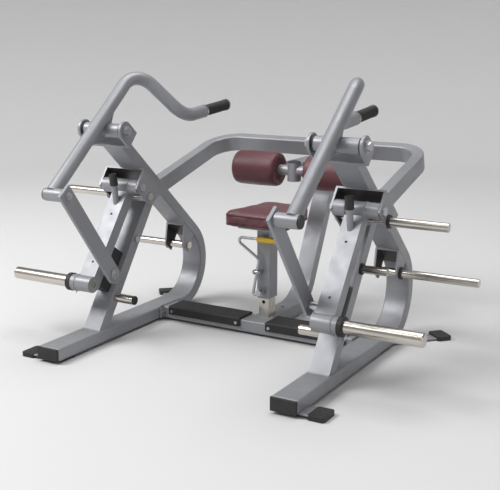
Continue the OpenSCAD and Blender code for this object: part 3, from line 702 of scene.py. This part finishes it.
# (inset, distance below the pad's top) in mm, from the bottom up
PAD_RINGS = [(6.0, 62.0), (2.0, 55.0), (1.0, 24.0), (3.0, 12.0), (10.0, 4.0), (30.0, 1.5), (80.0, 0.0)]
BOARD_RINGS = [(18.0, 65.0), (16.0, 63.0), (16.0, 59.0)]
SEAMS = [(0.8, 19.0), (0.8, 52.0)]
# (inset, distance below the pad's top, radius) in mm
WELTS = [(2.2, 15.0, 1.5), (2.4, 57.0, 2.2)]
WELT_STEP = 4.0
THREAD_R = 0.7
THREAD_STEP = 2.0
STITCH_POINTS = 3
PAD_HELD = 5.0          # the lowest part of the cover is stapled to the board
PAD_CLEAR = 2.0         # and the cover never sags lower than this above the board's foot
PAD_SWELL = 3.0


def turned(flat, angle):
    return Vector((flat.x * cos(angle) - flat.y * sin(angle), flat.x * sin(angle) + flat.y * cos(angle)))


def seat_outline(inset):
    """The pad's outline in mm, anticlockwise from above, drawn in by inset."""
    corners = [(-SEAT_W / 2, 0.0, SEAT_FRONT_R), (SEAT_W / 2, 0.0, SEAT_FRONT_R),
               (SEAT_REAR_W / 2, SEAT_L, SEAT_REAR_R), (-SEAT_REAR_W / 2, SEAT_L, SEAT_REAR_R)]
    middle = Vector((0.0, SEAT_L / 2))
    points = []
    for i, (x, y, r) in enumerate(corners):
        here = Vector((x, y))
        before = (Vector(corners[i - 1][:2]) - here).normalized()
        after = (Vector(corners[(i + 1) % 4][:2]) - here).normalized()
        half = before.angle(after) / 2
        centre = here + (before + after).normalized() * (r / sin(half))
        first = here + before * (r / (sin(half) / cos(half))) - centre
        turn = pi - 2 * half
        points += [centre + turned(first, turn * k / CORNER_STEPS) for k in range(CORNER_STEPS + 1)]
    lengths = (1.0 - 2 * inset / SEAT_W, 1.0 - 2 * inset / SEAT_L)
    return [Vector(((p.x - middle.x) * lengths[0],
                    SEAT_FRONT + middle.y + (p.y - middle.y) * lengths[1])) for p in points]


def seat_ring(inset, drop):
    """The outline drawn in by inset, at that distance below the pad's top."""
    return [at(p.x, p.y, SEAT_TOP - drop) for p in seat_outline(inset)]


def add_layers(bm, layers):
    join_rings(bm, [[bm.verts.new(point) for point in seat_ring(*layer)] for layer in layers])


def add_seat_cushion():
    bm = bmesh.new()
    add_layers(bm, PAD_RINGS)
    pad = add_shape("seat_cushion", bm, "vinyl", "seat")
    stapled = (SEAT_BOTTOM + PAD_HELD) * MM
    inflated(pad, PAD_SWELL * MM, lambda co: co.z < stapled)
    for vertex in pad.data.vertices:
        vertex.co.z = max(vertex.co.z, (SEAT_BOTTOM + PAD_CLEAR) * MM)
    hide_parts("seat_pad")


def add_seat_welts():
    bm = bmesh.new()
    for inset, drop, radius in WELTS:
        add_cord(bm, spaced(seat_ring(inset, drop), WELT_STEP * MM, True), radius * MM, True)
    add_shape("seat_welt", bm, "vinyl", "seat")


def add_seat_stitches():
    bm = bmesh.new()
    for inset, drop in SEAMS:
        line = spaced(seat_ring(inset, drop), THREAD_STEP * MM, True)
        for k in range(0, len(line) - STITCH_POINTS + 1, STITCH_POINTS):
            add_cord(bm, line[k:k + STITCH_POINTS], THREAD_R * MM, sides=5)
    add_shape("seat_stitches", bm, "thread", "seat")


def add_seat():
    """A foam pad in stitched vinyl on a board, with a welt round its top and its bottom."""
    add_seat_cushion()
    add_seat_welts()
    add_seat_stitches()
    bm = bmesh.new()
    add_layers(bm, BOARD_RINGS)
    add_shape("seat_board", bm, "board", "seat", smooth=False)


# ---- Leg rollers ----

ROLLER_AT = (1040.0, 645.0)
ROLLER_IN = 67.0        # the rollers' inner ends, from the middle
ROLLER_L = 215.0
ROLLER_R = 75.0
ROLLER_EDGE = 22.0      # radius of the rounding at each end
ROLLER_SIDES = 72
SLEEVE_R = ROLLER_R - 2.0
SLEEVE_SET = 1.0        # the sleeve is drawn this much short at each end
SLEEVE_BELLY = 1.2
ROLLER_SWELL = 2.0
AXLE_R = 23.0
AXLE_HOLD = 6.0         # the sleeve is held this far out from the axle
EDGE_STEPS = 6
BELLY_STEPS = 8
SEAM_R = ROLLER_R - 6.0
SEAM_SET = 0.42 * ROLLER_EDGE
SEAM_POINTS = 96
SEAM_CORD_R = 1.6
FOLDS = 18
FOLD_DEPTH = 5.0
FOLD_REACH = 1.8        # how fast the folds deepen towards the axle
FOLD_DRIFT = 2.0        # how far they stray from even spacing, in radians
FOLD_STRAYS = 60.0      # and how often, per metre


def roller_profile():
    """(distance from the inner end, radius) in mm, from the axle round the outside and back."""
    inner = [(3.0, AXLE_R + 1.0), (1.0, AXLE_R + 8.0)]
    for k in range(EDGE_STEPS + 1):
        a = pi / 2 * k / EDGE_STEPS
        inner.append((SLEEVE_SET + ROLLER_EDGE * (1 - cos(a)), SLEEVE_R - ROLLER_EDGE * (1 - sin(a))))
    belly = []
    for k in range(1, BELLY_STEPS):
        part = k / BELLY_STEPS
        belly.append((ROLLER_EDGE + (ROLLER_L - 2 * ROLLER_EDGE) * part,
                      SLEEVE_R + SLEEVE_BELLY * sin(pi * part)))
    return inner + belly + [(ROLLER_L - distance, radius) for distance, radius in reversed(inner)]


def near_line(start, way, reach):
    """A test that is true for points within reach of the line from start."""
    return lambda point: (point - start).cross(way).length < reach


def gather(piece, start, way):
    """Radial folds on both ends, deepest near the axle."""
    for vertex in piece.data.vertices:
        off = vertex.co - start
        distance = off.dot(way) / MM
        flat = off - way * off.dot(way)
        radius = flat.length / MM
        from_end = min(distance, ROLLER_L - distance)
        if from_end > ROLLER_EDGE or radius > SEAM_R:
            continue
        angle = flat.angle(Vector((0.0, 1.0, 0.0))) if flat.length else 0.0
        near = 1.0 - (radius - AXLE_R) / (SEAM_R - AXLE_R)
        wave = 0.5 + 0.5 * cos(FOLDS * angle + FOLD_DRIFT * noise.noise(flat * FOLD_STRAYS))
        depth = FOLD_DEPTH * max(0.0, min(1.0, near * FOLD_REACH)) * wave * MM
        inward = way if distance < ROLLER_L / 2 else -way
        vertex.co += inward * depth


def add_roller_seams(side, start, way):
    bm = bmesh.new()
    turns = [2 * pi * k / SEAM_POINTS for k in range(SEAM_POINTS)]
    for distance in (SEAM_SET, ROLLER_L - SEAM_SET):
        centre = start + way * distance * MM
        line = [centre + Vector((0.0, cos(a), sin(a))) * SEAM_R * MM for a in turns]
        add_cord(bm, line, SEAM_CORD_R * MM, closed=True, sides=6)
    add_shape(f"roller_seam_{side}", bm, "thread", f"{side}_roller")


def add_rollers():
    """Foam rollers in vinyl sleeves, gathered into folds at their ends."""
    for side, s in SIDES.items():
        start = at(s * ROLLER_IN, *ROLLER_AT)
        way = Vector((s, 0.0, 0.0))
        bm = bmesh.new()
        add_turned(bm, start, way, roller_profile(), ROLLER_SIDES)
        piece = add_shape(f"roller_cushion_{side}", bm, "vinyl", f"{side}_roller")
        inflated(piece, ROLLER_SWELL * MM, near_line(start, way, (AXLE_R + AXLE_HOLD) * MM))
        gather(piece, start, way)
        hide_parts(f"roller_{side}")
        add_roller_seams(side, start, way)


paint_cad()
soften_frame()
add_welds()
add_nipples()
add_grips()
add_seat()
add_rollers()


# ---- Camera, floor and light ----

STUDIO_R = 7.0
STUDIO_H = 7.0
WALL_BEND = 2.0
BEND_STEPS = 12
STUDIO_SIDES = 96
# painted light: the floor is darker near the middle and lighter away from it, and the wall is darker
# towards its top
FLOOR_NEAR, FLOOR_FAR, WALL_PAINTED_SHADE = grey(0.545), grey(0.86), grey(0.40)
FLOOR_FADE = 5.0        # the floor has reached its far shade at this distance
WALL_FADE = 3.6         # and the wall its own at this height

LENS = 67.8
SENSOR_W = 36.0
CAMERA_AT = (1.8658, -2.5466 - HALF_DEPTH, 1.2257)
CAMERA_DOWN = 12.7
CAMERA_TURN = 30.2
AIR_LIGHT = 0.34

# Name: place, what it looks at, diameter in metres, power in watts
LIGHTS = {
    "key": ((-2.8, -2.6, 4.4), (0.0, 0.0, 0.5), 3.0, 260.0),
    "top": ((0.2, 0.6, 5.0), (0.0, 0.0, 0.4), 3.4, 130.0),
    "fill": ((4.2, -2.0, 2.0), (0.0, 0.0, 0.5), 2.6, 14.0),
}


def studio_mesh():
    """A round floor that curves up into a wall, so that every side has the same plain backdrop."""
    profile = [(STUDIO_R - WALL_BEND, 0.0)]
    for i in range(1, BEND_STEPS + 1):
        a = i / BEND_STEPS * pi / 2
        profile.append((STUDIO_R - WALL_BEND + WALL_BEND * sin(a), WALL_BEND - WALL_BEND * cos(a)))
    profile.append((STUDIO_R, STUDIO_H))
    bm = bmesh.new()
    centre = bm.verts.new((0.0, 0.0, 0.0))
    along, across = Vector((1.0, 0.0, 0.0)), Vector((0.0, 1.0, 0.0))
    rings = [add_ring(bm, Vector((0.0, 0.0, z)), r, along, across, STUDIO_SIDES) for r, z in profile]
    for k in range(STUDIO_SIDES):
        after = (k + 1) % STUDIO_SIDES
        bm.faces.new((centre, rings[0][k], rings[0][after]))
        for low, high in zip(rings, rings[1:]):
            bm.faces.new((low[k], high[k], high[after], low[after]))
    mesh = bpy.data.meshes.new("studio")
    bm.to_mesh(mesh)
    bm.free()
    smooth_faces(mesh)
    return mesh


def studio_painted_light():
    """Pale floor with painted light, darker near the middle and lighter away from it, that fades into a
    wall with painted shade, darker towards its top.
    """
    mat = Mat("studio")
    height = mat.node("ShaderNodeSeparateXYZ", {"Vector": mat.place}).outputs["Z"]
    away = mat.node("ShaderNodeVectorMath", {0: mat.place}, operation="LENGTH").outputs["Value"]
    floor = mat.blend(mat.span(away, 0.0, 1.0, start=0.0, end=FLOOR_FADE), FLOOR_NEAR, FLOOR_FAR)
    shade = mat.blend(mat.span(height, 0.0, 1.0, start=0.0, end=WALL_FADE), floor, WALL_PAINTED_SHADE)
    mat.set(Base_Color=shade, Roughness=0.9)
    return mat.material


def add_studio():
    studio = bpy.data.objects.new("studio", studio_mesh())
    bpy.context.scene.collection.objects.link(studio)
    studio.data.materials.append(studio_painted_light())


def add_camera():
    data = bpy.data.cameras.new("camera")
    data.sensor_width = SENSOR_W
    data.lens = LENS
    camera = bpy.data.objects.new("camera", data)
    camera.location = CAMERA_AT
    camera.rotation_euler = (radians(90 - CAMERA_DOWN), 0.0, radians(CAMERA_TURN))
    bpy.context.scene.collection.objects.link(camera)
    bpy.context.scene.camera = camera


def add_world():
    world = bpy.data.worlds.new("studio_air")
    world.use_nodes = True
    sky = world.node_tree.nodes["Background"]
    sky.inputs["Color"].default_value = grey(1.0)
    sky.inputs["Strength"].default_value = AIR_LIGHT
    bpy.context.scene.world = world


def add_light(name, place, target, size, power):
    data = bpy.data.lights.new(name, "AREA")
    data.shape = "DISK"
    data.size = size
    data.energy = power
    lamp = bpy.data.objects.new(name, data)
    lamp.location = place
    lamp.rotation_euler = (Vector(target) - Vector(place)).to_track_quat("-Z", "Y").to_euler()
    bpy.context.scene.collection.objects.link(lamp)


add_studio()
add_camera()
add_world()
for name, light in LIGHTS.items():
    add_light(name, *light)
bpy.context.scene.view_settings.view_transform = "Standard"
